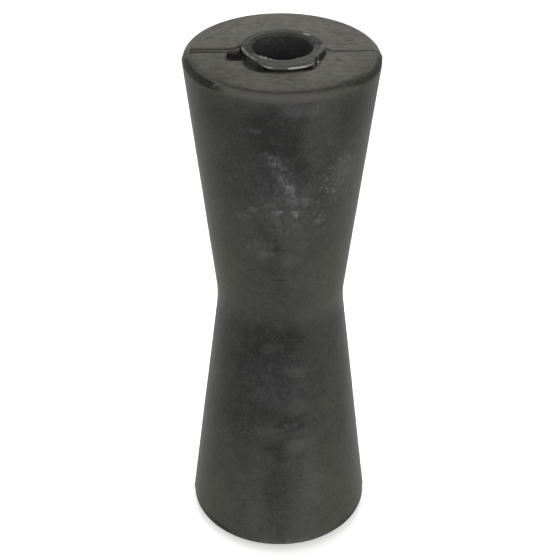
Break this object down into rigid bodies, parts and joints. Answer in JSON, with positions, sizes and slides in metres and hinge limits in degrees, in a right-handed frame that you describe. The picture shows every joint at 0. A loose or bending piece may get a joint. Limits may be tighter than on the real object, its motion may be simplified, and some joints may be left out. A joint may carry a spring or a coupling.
{
  "type": "boat trailer roller",
  "caption": "Concave moulded rubber keel roller with a through bore, a raised collar round each mouth and a trimmed parting ridge.",
  "frame": {"origin": "on the roller's axis, in the plane of the lower collar that it stands on", "axes": "+Z along the axle bore, upwards; X lies in the mould's parting plane; -Y is the side with the flared lip"},
  "size_m": [0.0878, 0.0872, 0.2555],
  "materials": {
    "moulded_rubber": "moulded black rubber, aged to a matt greenish grey"
  },
  "bodies": {
    "root": {"roller": "moulded_rubber"}
  },
  "joints": []
}
